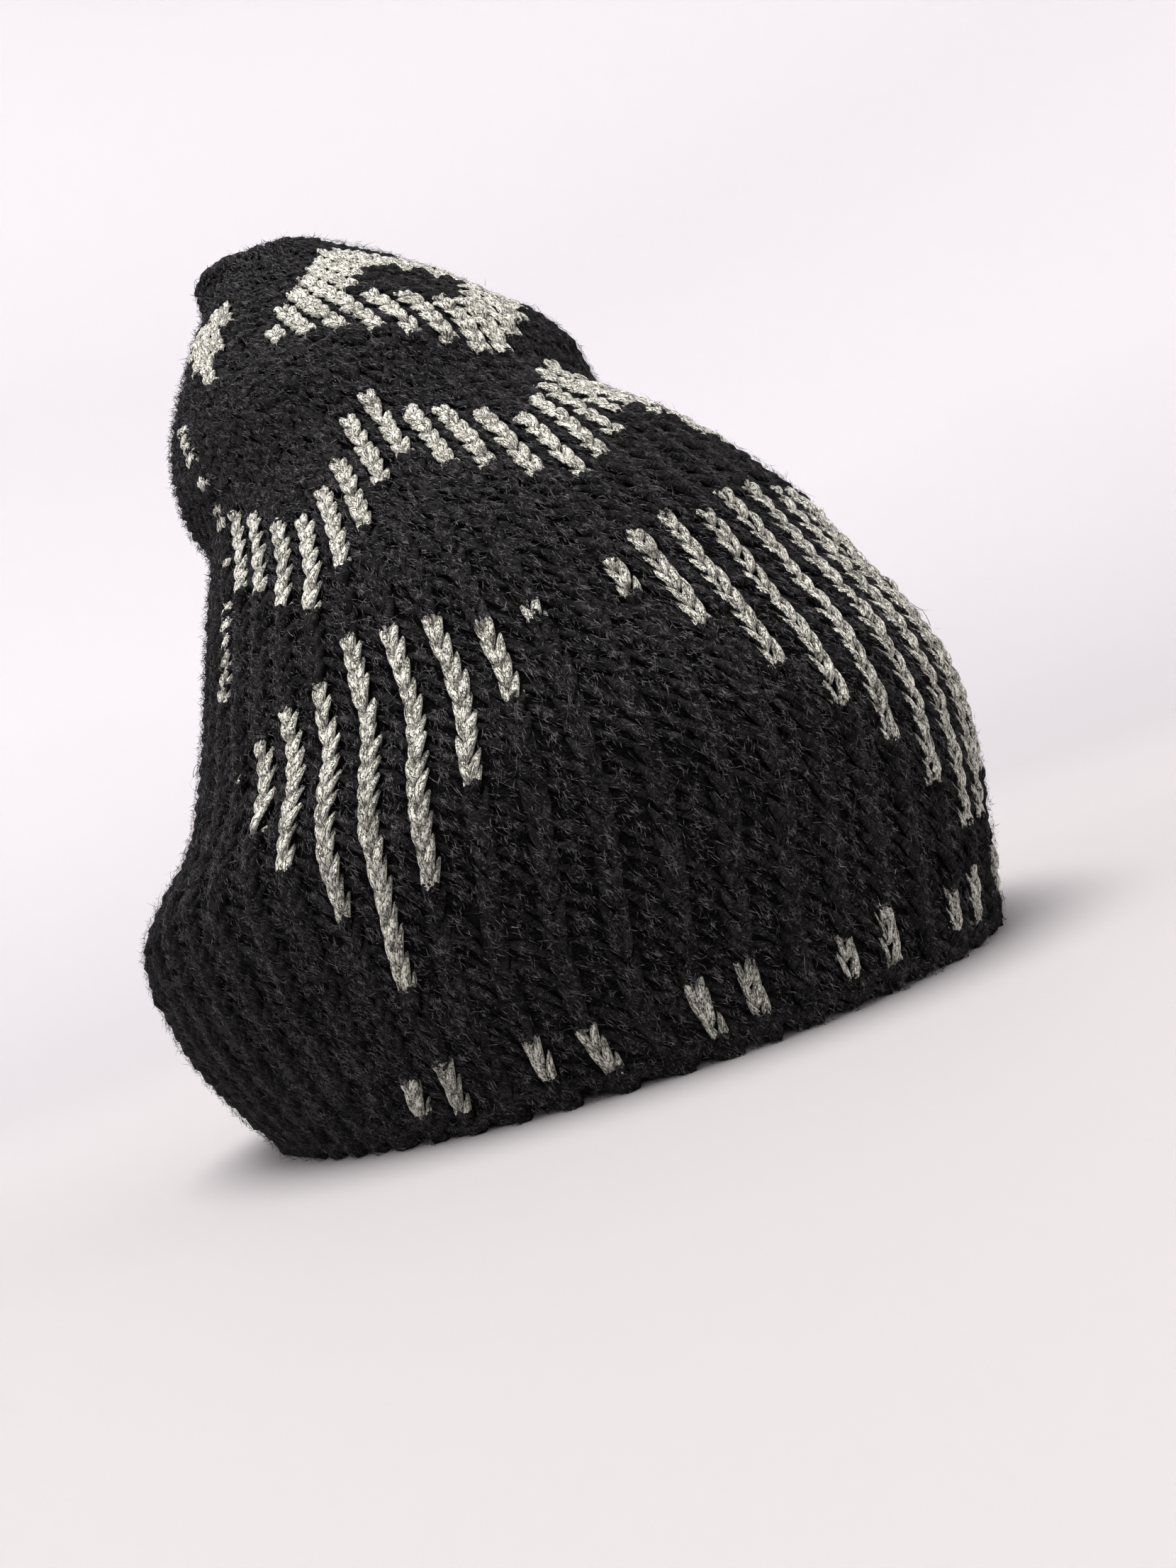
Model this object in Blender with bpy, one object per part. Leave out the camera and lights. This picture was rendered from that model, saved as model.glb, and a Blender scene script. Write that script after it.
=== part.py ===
"""A slouchy rib-knit beanie, one hollow knitted piece standing on its brim edge.

Metres, +Z up. The front of the hat faces -Y and the wearer's right faces -X.
The origin is on the floor, at the middle of the hat's outer box.
"""

import math
from collections import namedtuple

import bmesh
import bpy

# Knit
RIB_COUNT = 60
RIB_DEPTH = 0.0030
WALL_THICKNESS = 0.0060
CROWN_THICKNESS = 0.0120
KNOT_DEPTH = 0.0055

# Brim edge
EDGE_ROUNDING = 0.0012
EDGE_ROUNDING_HEIGHT = 0.0030

# Mesh
OUTER_RINGS = 20
INNER_RINGS = 14
ARC_STEPS = 90
NORMAL_STEP = 0.02
INNER_TOP_SECTION = 11.0

# The shape is a stack of tilted ovals. back is how far an oval's centre lies behind the brim's,
# and tilt_deg raises its front edge.
Section = namedtuple("Section", "name height back half_length half_width tilt_deg")
SECTIONS = (
    Section("brim edge", 0.0000, 0.0000, 0.1020, 0.0840, 0.0),
    Section("lower dome", 0.0210, 0.0035, 0.1110, 0.0925, 2.0),
    Section("back bulge", 0.0430, 0.0050, 0.1165, 0.0985, 3.5),
    Section("widest front", 0.0640, 0.0050, 0.1145, 0.0995, 3.0),
    Section("shoulder", 0.0830, -0.0025, 0.0985, 0.0905, 4.5),
    Section("upper dome", 0.1050, -0.0040, 0.0870, 0.0830, 6.0),
    Section("waist", 0.1295, 0.0000, 0.0745, 0.0730, 6.5),
    Section("front saddle", 0.1530, 0.0070, 0.0620, 0.0620, 7.5),
    Section("lobe bottom", 0.1735, 0.0145, 0.0585, 0.0585, 10.0),
    Section("lobe middle", 0.1915, 0.0240, 0.0520, 0.0505, 13.0),
    Section("lobe top", 0.2070, 0.0300, 0.0420, 0.0400, 15.5),
    Section("gather start", 0.2210, 0.0330, 0.0315, 0.0300, 17.0),
    Section("gather", 0.2310, 0.0325, 0.0210, 0.0205, 17.5),
    Section("crown knot", 0.2395, 0.0320, 0.0100, 0.0100, 18.0),
)
APEX_HEIGHT = 0.2420
APEX_BACK = 0.0315

# Soft folds pushed into the wall (positive depth) or out of it (negative depth). turn is the
# fraction of the way round from the back centre, over the wearer's right side.
Fold = namedtuple("Fold", "name section turn section_spread turn_spread depth")
FOLDS = (
    Fold("crease under the lobe at the back", 7.3, 0.08, 0.42, 0.10, 0.0030),
    Fold("crease under the lobe on the left", 7.6, 0.83, 0.45, 0.09, 0.0045),
    Fold("crease across the front saddle", 7.0, 0.56, 0.40, 0.08, 0.0030),
    Fold("hollow in the lobe's right side", 9.0, 0.30, 0.80, 0.06, 0.0030),
    Fold("swell low on the lobe's front", 7.8, 0.51, 0.45, 0.08, -0.0016),
    Fold("swell over the lobe's front left", 10.3, 0.64, 0.80, 0.10, -0.0040),
    Fold("crown corner at the back", 12.5, 0.12, 0.57, 0.14, -0.0105),
    Fold("sag at the front left", 3.0, 0.70, 1.00, 0.05, 0.0020),
    Fold("sag at the back left", 4.4, 0.86, 0.90, 0.07, 0.0030),
)

# A rib's points, as the share of its pitch and the share of the ribs' depth: valley, two shoulders
RIB_PROFILE = ((0.0, 1.0), (0.30, 0.0), (0.70, 0.0))
FABRIC_COLOUR = (0.012, 0.012, 0.015, 1.0)


def catmull_rom(values, position):
    """Value of a smooth curve through evenly spaced values."""
    last = len(values) - 1
    index = min(int(position), last - 1)
    t = position - index
    before = values[max(index - 1, 0)]
    start, end = values[index], values[index + 1]
    after = values[min(index + 2, last)]
    return 0.5 * (
        2 * start
        + (end - before) * t
        + (2 * before - 5 * start + 4 * end - after) * t**2
        + (3 * start - before - 3 * end + after) * t**3
    )


def section_at(position):
    """Oval between the rows of the table: height, back, half length, half width, tilt."""
    columns = zip(*(row[1:] for row in SECTIONS))
    height, back, half_length, half_width, tilt = (catmull_rom(c, position) for c in columns)
    return height, back, half_length, half_width, math.radians(tilt)


def oval_angles(half_length, half_width, turns):
    """Angles that split the oval's edge at the given fractions of its length, from the back."""
    lengths = [0.0]
    step = 2 * math.pi / ARC_STEPS
    for i in range(ARC_STEPS):
        middle = (i + 0.5) * step
        speed = math.hypot(half_width * math.cos(middle), half_length * math.sin(middle))
        lengths.append(lengths[-1] + speed * step)
    angles = []
    i = 0
    for turn in turns:
        target = turn * lengths[-1]
        while i < ARC_STEPS - 1 and lengths[i + 1] < target:
            i += 1
        angles.append(step * (i + (target - lengths[i]) / (lengths[i + 1] - lengths[i])))
    return angles


def envelope_point(position, angle):
    """Point on the smooth surface that the ribs' crests touch."""
    height, back, half_length, half_width, tilt = section_at(position)
    along = half_length * math.cos(angle)
    return (
        -half_width * math.sin(angle),
        back + along * math.cos(tilt),
        height - along * math.sin(tilt),
    )


def envelope_normal(position, angle):
    """Unit vector out of the smooth surface."""
    low = max(position - NORMAL_STEP, 0.0)
    high = min(position + NORMAL_STEP, len(SECTIONS) - 1.0)
    up = [b - a for a, b in zip(envelope_point(low, angle), envelope_point(high, angle))]
    one_side = envelope_point(position, angle - NORMAL_STEP)
    other_side = envelope_point(position, angle + NORMAL_STEP)
    side = [b - a for a, b in zip(one_side, other_side)]
    normal = (
        up[1] * side[2] - up[2] * side[1],
        up[2] * side[0] - up[0] * side[2],
        up[0] * side[1] - up[1] * side[0],
    )
    size = math.hypot(*normal)
    return tuple(-c / size for c in normal)


def fold_depth(position, turn):
    """How far the folds push the wall in at a point."""
    depth = 0.0
    for fold in FOLDS:
        around = abs(turn - fold.turn)
        around = min(around, 1.0 - around) / fold.turn_spread
        along = (position - fold.section) / fold.section_spread
        depth += fold.depth * math.exp(-(around**2) - along**2)
    return depth


def wall_point(position, turn, angle, depth):
    """Point at a depth below the crests, measured square to the folded surface."""
    point = envelope_point(position, angle)
    normal = envelope_normal(position, angle)
    inward = depth + fold_depth(position, turn)
    return tuple(p - n * inward for p, n in zip(point, normal))


def outer_ring(position, rib_depth):
    """Ribbed ring of the outer face: a valley and two shoulders for each rib."""
    turns = [(rib + phase) / RIB_COUNT for rib in range(RIB_COUNT) for phase, _ in RIB_PROFILE]
    depths = [share * rib_depth for _ in range(RIB_COUNT) for _, share in RIB_PROFILE]
    _, _, half_length, half_width, _ = section_at(position)
    angles = oval_angles(half_length, half_width, turns)
    return [wall_point(position, t, a, d) for t, a, d in zip(turns, angles, depths)]


def plain_ring(position, depth, count=RIB_COUNT):
    """Ring without ribs, one point a rib."""
    turns = [k / count for k in range(count)]
    _, _, half_length, half_width, _ = section_at(position)
    angles = oval_angles(half_length, half_width, turns)
    return [wall_point(position, t, a, depth) for t, a in zip(turns, angles)]


def on_floor(ring):
    return [(x, y, 0.0) for x, y, _ in ring]


def add_ring(mesh, points):
    return [mesh.verts.new(p) for p in points]


def join_rings(mesh, lower, upper):
    """Faces between two rings, where the lower has a whole number of points for each upper one."""
    share = len(lower) // len(upper)
    for k, corner in enumerate(upper):
        following = upper[(k + 1) % len(upper)]
        first = k * share
        for i in range(share - 1):
            mesh.faces.new((lower[first + i], lower[first + i + 1], corner))
        last = lower[first + share - 1]
        wrap = lower[(first + share) % len(lower)]
        mesh.faces.new((last, wrap, following))
        mesh.faces.new((last, following, corner))


def close_ring(mesh, ring, tip):
    for k, corner in enumerate(ring):
        mesh.faces.new((corner, ring[(k + 1) % len(ring)], tip))


def outer_rings():
    """Ribbed rings from the floor to the gather, with the brim's edge rounded in."""
    last = len(SECTIONS) - 2
    rounded = []
    for x, y, _ in outer_ring(0.0, RIB_DEPTH):
        scale = 1 - EDGE_ROUNDING / math.hypot(x, y)
        rounded.append((x * scale, y * scale, 0.0))
    first = EDGE_ROUNDING_HEIGHT / SECTIONS[1].height
    positions = [first + (last - first) * i / (OUTER_RINGS - 1) for i in range(OUTER_RINGS)]
    return [rounded] + [outer_ring(p, RIB_DEPTH) for p in positions]


def inner_rings():
    """Plain rings of the inside, from the floor to under the gather."""
    positions = [INNER_TOP_SECTION * i / (INNER_RINGS - 1) for i in range(INNER_RINGS)]
    rings = []
    for position in positions:
        share = (position / INNER_TOP_SECTION) ** 4
        depth = WALL_THICKNESS + (CROWN_THICKNESS - WALL_THICKNESS) * share
        rings.append(plain_ring(position, depth))
    rings[0] = on_floor(rings[0])
    return rings


def build_crown():
    """The whole knitted piece as one closed body."""
    mesh = bmesh.new()
    outside = [add_ring(mesh, ring) for ring in outer_rings()]
    for lower, upper in zip(outside, outside[1:]):
        join_rings(mesh, lower, upper)
    top_section = len(SECTIONS) - 1.0
    knot = add_ring(mesh, plain_ring(top_section, 0.0))
    small_knot = add_ring(mesh, plain_ring(top_section, KNOT_DEPTH, RIB_COUNT // 4))
    join_rings(mesh, outside[-1], knot)
    join_rings(mesh, knot, small_knot)
    close_ring(mesh, small_knot, mesh.verts.new((0.0, APEX_BACK, APEX_HEIGHT)))

    inside = [add_ring(mesh, ring) for ring in inner_rings()]
    for lower, upper in zip(inside, inside[1:]):
        join_rings(mesh, lower, upper)
    top = [sum(v.co[axis] for v in inside[-1]) / RIB_COUNT for axis in range(3)]
    close_ring(mesh, inside[-1], mesh.verts.new(top))
    join_rings(mesh, outside[0], inside[0])
    bmesh.ops.recalc_face_normals(mesh, faces=mesh.faces)
    return mesh


def centre_on_origin(mesh):
    """Moves the hat so that the middle of its outer box stands over the origin."""
    for axis in (0, 1):
        places = [v.co[axis] for v in mesh.verts]
        middle = (min(places) + max(places)) / 2
        for vert in mesh.verts:
            vert.co[axis] -= middle


def knit_material():
    material = bpy.data.materials.new("black_knit")
    material.use_nodes = True
    shader = material.node_tree.nodes["Principled BSDF"]
    shader.inputs["Base Color"].default_value = FABRIC_COLOUR
    shader.inputs["Roughness"].default_value = 0.95
    shader.inputs["Metallic"].default_value = 0.0
    return material


def main():
    for old in list(bpy.data.objects):
        bpy.data.objects.remove(old)
    mesh = build_crown()
    centre_on_origin(mesh)
    data = bpy.data.meshes.new("knit_crown")
    mesh.to_mesh(data)
    mesh.free()
    data.shade_smooth()
    data.materials.append(knit_material())
    crown = bpy.data.objects.new("knit_crown", data)
    bpy.context.scene.collection.objects.link(crown)


main()
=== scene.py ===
import math
from collections import namedtuple

import bpy
import numpy as np
from mathutils import Matrix, Vector


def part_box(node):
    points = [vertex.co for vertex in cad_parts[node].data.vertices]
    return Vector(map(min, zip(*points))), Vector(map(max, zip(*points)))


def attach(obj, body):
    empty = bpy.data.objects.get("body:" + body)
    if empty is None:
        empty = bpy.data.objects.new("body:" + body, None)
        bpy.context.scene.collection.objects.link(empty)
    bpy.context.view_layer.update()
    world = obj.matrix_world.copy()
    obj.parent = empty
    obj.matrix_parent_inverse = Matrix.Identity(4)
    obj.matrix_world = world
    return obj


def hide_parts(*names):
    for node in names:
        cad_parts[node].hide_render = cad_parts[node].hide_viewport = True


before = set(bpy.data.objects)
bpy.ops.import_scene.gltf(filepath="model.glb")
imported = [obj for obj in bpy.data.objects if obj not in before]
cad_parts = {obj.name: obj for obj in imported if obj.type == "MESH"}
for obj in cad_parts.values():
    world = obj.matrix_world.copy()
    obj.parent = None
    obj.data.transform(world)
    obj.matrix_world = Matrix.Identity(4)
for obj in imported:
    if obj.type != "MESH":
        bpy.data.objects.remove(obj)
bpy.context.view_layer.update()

NODE = "knit_crown"
BODY = "root"
MM = 0.001
SEED = 56

# Knit gauge
RIB_COUNT = 60
ROW_COUNT = 62
CHAIN_WIDTH = 6.6 * MM
PACKED_PITCH = 5.2 * MM
TIGHT_PITCH = 6.6 * MM
OPEN_PITCH = 10.6 * MM
VALLEY_DEPTH = 3.2 * MM
CHAIN_SEAT = 1.3 * MM
WALL_THICKNESS = 6.0 * MM
CROWN_THICKNESS = 11.0 * MM

# The stack of tilted ovals that the part's source is made from
Section = namedtuple("Section", "name height back half_length half_width tilt_deg")
SECTIONS = (
    Section("brim edge", 0.0000, 0.0000, 0.1020, 0.0840, 0.0),
    Section("lower dome", 0.0210, 0.0035, 0.1110, 0.0925, 2.0),
    Section("back bulge", 0.0430, 0.0050, 0.1165, 0.0985, 3.5),
    Section("widest front", 0.0640, 0.0050, 0.1145, 0.0995, 3.0),
    Section("shoulder", 0.0830, -0.0025, 0.0985, 0.0905, 4.5),
    Section("upper dome", 0.1050, -0.0040, 0.0870, 0.0830, 6.0),
    Section("waist", 0.1295, 0.0000, 0.0745, 0.0730, 6.5),
    Section("front saddle", 0.1530, 0.0070, 0.0620, 0.0620, 7.5),
    Section("lobe bottom", 0.1735, 0.0145, 0.0585, 0.0585, 10.0),
    Section("lobe middle", 0.1915, 0.0240, 0.0520, 0.0505, 13.0),
    Section("lobe top", 0.2070, 0.0300, 0.0420, 0.0400, 15.5),
    Section("gather start", 0.2210, 0.0330, 0.0315, 0.0300, 17.0),
    Section("gather", 0.2310, 0.0325, 0.0210, 0.0205, 17.5),
    Section("crown knot", 0.2395, 0.0320, 0.0100, 0.0100, 18.0),
)
Fold = namedtuple("Fold", "name section turn section_spread turn_spread depth")
FOLDS = (
    Fold("crease under the lobe at the back", 7.3, 0.08, 0.42, 0.10, 0.0030),
    Fold("crease under the lobe on the left", 7.6, 0.83, 0.45, 0.09, 0.0045),
    Fold("crease across the front saddle", 7.0, 0.56, 0.40, 0.08, 0.0030),
    Fold("hollow in the lobe's right side", 9.0, 0.30, 0.80, 0.06, 0.0030),
    Fold("swell low on the lobe's front", 7.8, 0.51, 0.45, 0.08, -0.0016),
    Fold("swell over the lobe's front left", 10.3, 0.64, 0.80, 0.10, -0.0040),
    Fold("crown corner at the back", 12.5, 0.12, 0.57, 0.14, -0.0105),
    Fold("sag at the front left", 3.0, 0.70, 1.00, 0.05, 0.0020),
    Fold("sag at the back left", 4.4, 0.86, 0.90, 0.07, 0.0030),
)
CROWN_KNOT_SECTION = 12.95

# Places where the ribs are pulled aside (shift, in ribs) or crowded together (squeeze)
Pull = namedtuple("Pull", "name turn row turn_spread row_spread shift squeeze")
PULLS = (
    Pull("crowded beside the ear", 0.27, 11.0, 0.060, 9.0, 0.0, 0.20),
    Pull("stretched over the forehead", 0.45, 10.0, 0.140, 14.0, 0.0, -0.10),
    Pull("stretched on the front saddle", 0.47, 26.0, 0.080, 7.0, 0.0, -0.14),
    Pull("bent over the crease behind the ear", 0.305, 14.0, 0.075, 8.0, 0.95, 0.0),
    Pull("leaning back under the lobe", 0.245, 24.0, 0.050, 5.0, -0.35, 0.0),
    Pull("leaning forward at the lobe's foot", 0.27, 31.5, 0.050, 5.5, 0.45, 0.0),
    Pull("bowed over the temple", 0.405, 15.0, 0.050, 9.0, 0.50, 0.0),
    Pull("brim pulled back at the side", 0.28, 0.0, 0.060, 3.0, -0.5, 0.0),
    Pull("brim pulled to the forehead", 0.36, 0.0, 0.040, 2.2, 0.35, 0.0),
    Pull("brim pulled back at the left", 0.72, 0.0, 0.060, 3.0, 0.5, 0.0),
    Pull("twist in the lobe", 0.40, 44.0, 0.080, 6.0, 0.6, -0.08),
    Pull("crowded on the lobe's side", 0.36, 40.0, 0.040, 5.0, 0.0, 0.15),
    Pull("pulled over at the back", 0.90, 18.0, 0.090, 8.0, 0.9, 0.10),
    Pull("slack at the back left", 0.78, 30.0, 0.070, 6.0, -0.8, -0.10),
)

# Lookup grid of the wall
GRID_SECTIONS = 420
GRID_TURNS = 720
GRID_ROWS = 420
ARC_STEPS = 180
TINY = 1e-12

# Wandering of the ribs, slant of the rows and patches of the tufts: size in ribs or rows,
# seed, and most waves round the hat and up it
WANDERS = ((0.10, 11, 5, 3.0), (0.06, 12, 14, 5.0))
ROW_WAVES, TUFT_WAVES = (0.30, 21, 6, 4.0), (0.25, 91, 30, 30.0)
WAVE_COUNT = 6

# Where the V's of the stitches lean over to one side
LEAN_TURN, LEAN_SPREAD = 0.47, 0.12

# Pointed ends of tubes as a share of their height, and shifts between their UV strips
TUBE_TIP = 0.55
UV_SHIFT, UV_SPAN = 0.377, 7
UV_SCALE = 100

# Camera, from the photograph's perspective
CAMERA_LENS = 27.1
CAMERA_SENSOR = 36.0
CAMERA_PLACE = (-0.2555, -0.1946, 0.0430)
CAMERA_AZIMUTH, CAMERA_ELEVATION, CAMERA_ROLL = -55.7, -3.9, -19.0


def catmull_rom(table, position):
    """Smooth curve through evenly spaced rows of a table, for an array of positions."""
    last = len(table) - 1
    index = np.clip(np.floor(position).astype(int), 0, last - 1)
    t = (position - index)[..., None]
    before = table[np.maximum(index - 1, 0)]
    start, end = table[index], table[index + 1]
    after = table[np.minimum(index + 2, last)]
    return 0.5 * (
        2 * start
        + (end - before) * t
        + (2 * before - 5 * start + 4 * end - after) * t**2
        + (3 * start - before - 3 * end + after) * t**3
    )


def fold_depth(position, turn):
    """How far the folds push the wall in at places."""
    depth = np.zeros(np.broadcast(position, turn).shape)
    for fold in FOLDS:
        around = np.abs(turn - fold.turn)
        around = np.minimum(around, 1.0 - around) / fold.turn_spread
        along = (position - fold.section) / fold.section_spread
        depth += fold.depth * np.exp(-(around**2) - along**2)
    return depth


def unit(vectors):
    return vectors / np.maximum(np.linalg.norm(vectors, axis=-1, keepdims=True), TINY)


def smooth_step(value):
    value = np.clip(value, 0.0, 1.0)
    return value * value * (3.0 - 2.0 * value)


class Wall:
    """The hat's smooth outer surface, looked up by turn (0 to 1 from the back centre, over the
    wearer's right) and by row of stitches (0 at the brim, ROW_COUNT at the crown knot)."""

    def __init__(self):
        sections = np.linspace(0, CROWN_KNOT_SECTION, GRID_SECTIONS)
        turns = np.arange(GRID_TURNS + 1) / GRID_TURNS
        table = np.array([row[1:] for row in SECTIONS])
        height, back, half_length, half_width, tilt = catmull_rom(table, sections).T[..., None]
        tilt = np.radians(tilt)
        angles = self.oval_angles(half_length, half_width, turns)
        along = half_length * np.cos(angles)
        points = np.stack([
            -half_width * np.sin(angles),
            back + along * np.cos(tilt),
            height - along * np.sin(tilt),
        ], -1)
        folds = fold_depth(sections[:, None], turns[None, :] % 1.0)
        points = points - self.outward(points) * folds[..., None]
        points = self.by_rows(points)
        self.points = points + self.shift(points)
        self.normals = self.outward(self.points)
        around = np.linalg.norm(np.diff(self.points, axis=1), axis=-1)
        self.girths = around.sum(1)

    @staticmethod
    def oval_angles(half_length, half_width, turns):
        step = 2 * math.pi / ARC_STEPS
        middle = (np.arange(ARC_STEPS) + 0.5) * step
        speed = np.hypot(half_width * np.cos(middle), half_length * np.sin(middle))
        lengths = np.concatenate([np.zeros((len(speed), 1)), np.cumsum(speed, 1)], 1)
        lengths /= lengths[:, -1:]
        corners = np.arange(ARC_STEPS + 1) * step
        return np.array([np.interp(turns, row, corners) for row in lengths])

    @staticmethod
    def outward(points):
        up = np.gradient(points, axis=0)
        ring = points[:, :-1]
        side = np.roll(ring, -1, 1) - np.roll(ring, 1, 1)
        side = np.concatenate([side, side[:, :1]], 1)
        return unit(np.cross(side, up))

    @staticmethod
    def by_rows(points):
        """Spaces each wale's points evenly along its own length."""
        step = np.linalg.norm(np.diff(points, axis=0), axis=-1)
        reach = np.concatenate([np.zeros((1, points.shape[1])), np.cumsum(step, 0)], 0)
        share = reach / reach[-1]
        wanted = np.linspace(0, 1, GRID_ROWS)
        out = np.empty((GRID_ROWS, points.shape[1], 3))
        for j in range(points.shape[1]):
            for axis in range(3):
                out[:, j, axis] = np.interp(wanted, share[:, j], points[:, j, axis])
        return out

    @staticmethod
    def shift(points):
        """Centres the wall on the CAD node's box."""
        box_low, box_high = (np.array(corner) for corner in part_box(NODE))
        move = (box_low + box_high - points.min((0, 1)) - points.max((0, 1))) / 2
        return move * (1.0, 1.0, 0.0)

    @staticmethod
    def look_up(grid, turn, row):
        u = (turn % 1.0) * GRID_TURNS
        v = np.clip(row / ROW_COUNT, 0, 1) * (GRID_ROWS - 1)
        i = np.minimum(v.astype(int), GRID_ROWS - 2)
        j = np.minimum(u.astype(int), GRID_TURNS - 1)
        fv, fu = (v - i)[..., None], (u - j)[..., None]
        low = grid[i, j] * (1 - fu) + grid[i, j + 1] * fu
        high = grid[i + 1, j] * (1 - fu) + grid[i + 1, j + 1] * fu
        return low * (1 - fv) + high * fv

    def at(self, turn, row, out=0.0):
        """Points that stand out from the smooth surface by a distance, and its normals there."""
        turn, row, out = np.broadcast_arrays(*(np.asarray(a, float) for a in (turn, row, out)))
        normal = unit(self.look_up(self.normals, turn, row))
        return self.look_up(self.points, turn, row) + normal * out[..., None], normal

    def girth(self, row):
        """Length round the hat at a row."""
        return np.interp(row, np.linspace(0, ROW_COUNT, GRID_ROWS), self.girths)


wall = Wall()


def waves(turn, row, size, seed, turn_waves, row_waves):
    """Smooth seeded noise round the hat, about -size to size."""
    local = np.random.default_rng(seed)
    total = 0.0
    for _ in range(WAVE_COUNT):
        around = local.integers(-turn_waves, turn_waves + 1)
        along = local.uniform(-row_waves, row_waves)
        start = local.uniform(0, 2 * math.pi)
        total = total + np.sin(2 * math.pi * (around * turn + along * row / ROW_COUNT) + start)
    return size * total / math.sqrt(WAVE_COUNT)


def rib_turn(rib, row):
    """Turn of a rib's middle: the ribs wander a little and follow the pulls."""
    straight = (rib + 0.5) / RIB_COUNT
    wander = sum(waves(straight, row, *wave) for wave in WANDERS)
    turn = straight + wander / RIB_COUNT
    for pull in PULLS:
        off = (straight - pull.turn + 0.5) % 1.0 - 0.5
        near = np.exp(-((off / pull.turn_spread) ** 2) - ((row - pull.row) / pull.row_spread) ** 2)
        turn = turn + near * (pull.shift / RIB_COUNT - pull.squeeze * off)
    return turn


def local_pitch(rib, row):
    """Distance between neighbouring ribs at a place."""
    return (rib_turn(rib + 0.5, row) - rib_turn(rib - 0.5, row)) * wall.girth(row)


def openness(rib, row):
    """0 where the ribs touch each other, 1 where the knit is stretched open."""
    return smooth_step((local_pitch(rib, row) - TIGHT_PITCH) / (OPEN_PITCH - TIGHT_PITCH))


def lean_share(rib, row):
    """0 where both legs of a V show alike, 1 where the right one covers most of the left one."""
    off = ((rib + 0.5) / RIB_COUNT - LEAN_TURN) / LEAN_SPREAD
    return openness(rib, row) * np.exp(-(off**2))


# Meshes from arrays


def add_object(name, data):
    obj = bpy.data.objects.new(name, data)
    bpy.context.scene.collection.objects.link(obj)
    return obj


def make_object(name, verts, faces, material, uv_maps):
    """A smooth object from a list of face arrays, each of equal-sided faces."""
    mesh = bpy.data.meshes.new(name)
    mesh.vertices.add(len(verts))
    mesh.vertices.foreach_set("co", verts.astype(np.float32).ravel())
    corners = np.concatenate([f.ravel() for f in faces])
    sizes = np.concatenate([np.full(len(f), f.shape[1]) for f in faces])
    starts = np.concatenate([[0], np.cumsum(sizes)[:-1]])
    mesh.loops.add(len(corners))
    mesh.loops.foreach_set("vertex_index", corners.astype(np.int32))
    mesh.polygons.add(len(sizes))
    mesh.polygons.foreach_set("loop_start", starts.astype(np.int32))
    mesh.polygons.foreach_set("use_smooth", np.ones(len(sizes), dtype=bool))
    for layer_name, values in uv_maps.items():
        layer = mesh.uv_layers.new(name=layer_name)
        layer.data.foreach_set("uv", values[corners].astype(np.float32).ravel())
    mesh.update(calc_edges=True)
    mesh.validate()
    mesh.materials.append(material)
    return add_object(name, mesh)


def make_piece(name, shape, material, slot_name="black_knit", **print_map):
    """A piece of the hat from verts, faces and uvs, with nothing under the floor."""
    verts, faces, uvs = shape
    verts[:, 2] = np.maximum(verts[:, 2], 0.0)
    obj = make_object(name, verts, faces, material, {"UVMap": uvs, **print_map})
    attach(obj, BODY)
    return obj


def ring_walls(start, around, up):
    """Quads between rings of points that follow one another from a start index."""
    lower = start + np.arange(up - 1)[:, None] * around
    here, following = lower + np.arange(around), lower + (np.arange(around) + 1) % around
    return np.stack([here, following, following + around, here + around], -1).reshape(-1, 4)


def fan(tip, ring):
    """Triangles from a tip to each edge of a ring of points."""
    return np.stack([np.full(len(ring), tip), ring, np.roll(ring, -1)], -1)


def repeated(faces, count, size):
    """The faces of one piece, for each of several pieces with as many points."""
    offset = (np.arange(count) * size)[:, None, None]
    return [(f + offset).reshape(-1, f.shape[1]) for f in faces]


def tubes(centre, up, half_width, half_height, sides):
    """Closed tubes along n centre lines of m points, wider than high, with pointed ends.

    centre and up are (n, m, 3), half_width and half_height (n, m). Returns verts, faces, uvs;
    u runs along a tube in centimetres and v once round it, 0.25 being its outer side."""
    n, m = centre.shape[:2]
    along = unit(np.gradient(centre, axis=1))
    side = unit(np.cross(along, up))
    lift = np.cross(side, along)
    angle = np.arange(sides) / sides * 2 * math.pi + math.pi / sides
    wide = side[:, :, None] * (half_width[..., None] * np.cos(angle))[..., None]
    high = lift[:, :, None] * (half_height[..., None] * np.sin(angle))[..., None]
    rings = (centre[:, :, None] + wide + high).reshape(n, m * sides, 3)
    tip = TUBE_TIP * half_height[..., None]
    start = centre[:, :1] - along[:, :1] * tip[:, :1]
    end = centre[:, -1:] + along[:, -1:] * tip[:, -1:]
    verts = np.concatenate([rings, start, end], 1)
    ring = np.arange(sides)
    caps = [fan(m * sides, ring[::-1]), fan(m * sides + 1, (m - 1) * sides + ring)]
    faces = repeated([ring_walls(0, sides, m), *caps], n, m * sides + 2)
    length = np.linalg.norm(np.diff(centre, axis=1), axis=-1).sum(1)
    u = np.linspace(0, 1, m)[None, :] * length[:, None] * UV_SCALE
    u = u + (np.arange(n) * UV_SHIFT % UV_SPAN)[:, None]
    ring_u = np.repeat(u[..., None], sides, 2)
    ring_v = np.broadcast_to(angle / (2 * math.pi), ring_u.shape)
    uv = np.stack([ring_u, ring_v], -1).reshape(n, m * sides, 2)
    ends = np.stack([u[:, [0, -1]], np.full((n, 2), 0.25)], -1)
    return verts.reshape(-1, 3), faces, np.concatenate([uv, ends], 1).reshape(-1, 2)


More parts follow.
